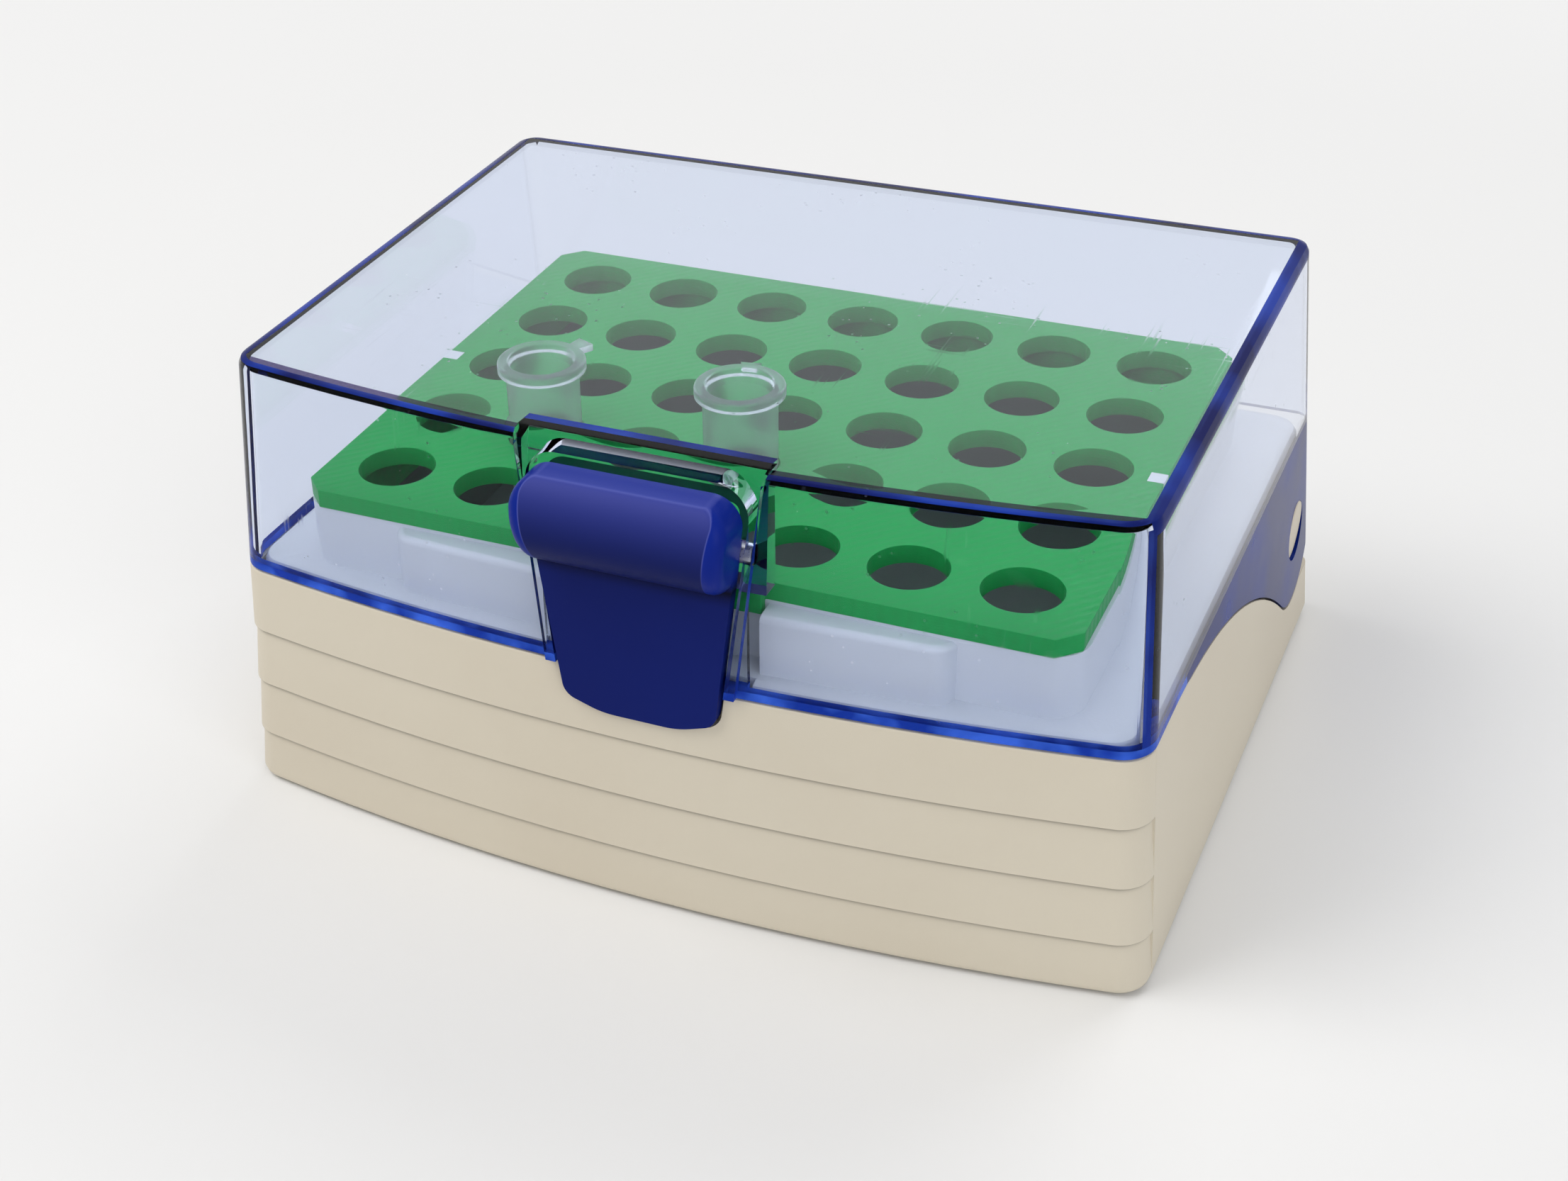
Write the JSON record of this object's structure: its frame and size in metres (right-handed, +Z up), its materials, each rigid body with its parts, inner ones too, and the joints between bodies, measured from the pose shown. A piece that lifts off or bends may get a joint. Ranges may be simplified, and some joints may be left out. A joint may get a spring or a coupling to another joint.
{
  "type": "microcentrifuge tube rack",
  "caption": "Tube rack plate with a grid of round holes in the tray of a small cooling box, under a clear lid that hinges at the rear and closes with a swinging front latch.",
  "frame": {"origin": "centre of the bounding box on the floor plane that the feet stand on", "axes": "+X along the front from left to right as seen from the latch side, +Y from the latch to the hinge, +Z up"},
  "size_m": [0.1424, 0.1209, 0.0724],
  "materials": {
    "casing_plastic": "satin",
    "tray_plastic": "satin",
    "rack_plastic": "satin",
    "mark_plastic": "satin",
    "tube_plastic": "gloss",
    "lid_plastic": "clear gloss",
    "latch_plastic": "satin",
    "coolant": "matt",
    "foot_rubber": "matt",
    "screw_steel": "brushed",
    "axle_steel": "brushed"
  },
  "bodies": {
    "base": {"outer_casing": "casing_plastic", "bottom_cover": "casing_plastic", "coolant_block": "coolant", "inner_tray": "tray_plastic", "rack_plate": "rack_plastic", "mark_left": "mark_plastic", "mark_right": "mark_plastic", "tube_1": "tube_plastic", "tube_2": "tube_plastic", "hinge_pin_left": "casing_plastic", "hinge_pin_right": "casing_plastic", "foot_1": "foot_rubber", "foot_2": "foot_rubber", "foot_3": "foot_rubber", "foot_4": "foot_rubber", "base_screw_1": "screw_steel", "base_screw_2": "screw_steel", "base_screw_3": "screw_steel", "base_screw_4": "screw_steel"},
    "lid": {"lid": "lid_plastic", "latch_axle": "axle_steel"},
    "latch": {"latch": "latch_plastic"}
  },
  "joints": [
    {"name": "lid_hinge", "type": "hinge", "parent": "base", "child": "lid", "pos_m": [0, 0.0444, 0.0225], "axis": [-1, 0, 0], "range_deg": [0, 100]},
    {"name": "latch_pivot", "type": "hinge", "parent": "lid", "child": "latch", "pos_m": [0, -0.0518, 0.0605], "axis": [-1, 0, 0], "range_deg": [0, 14]}
  ]
}
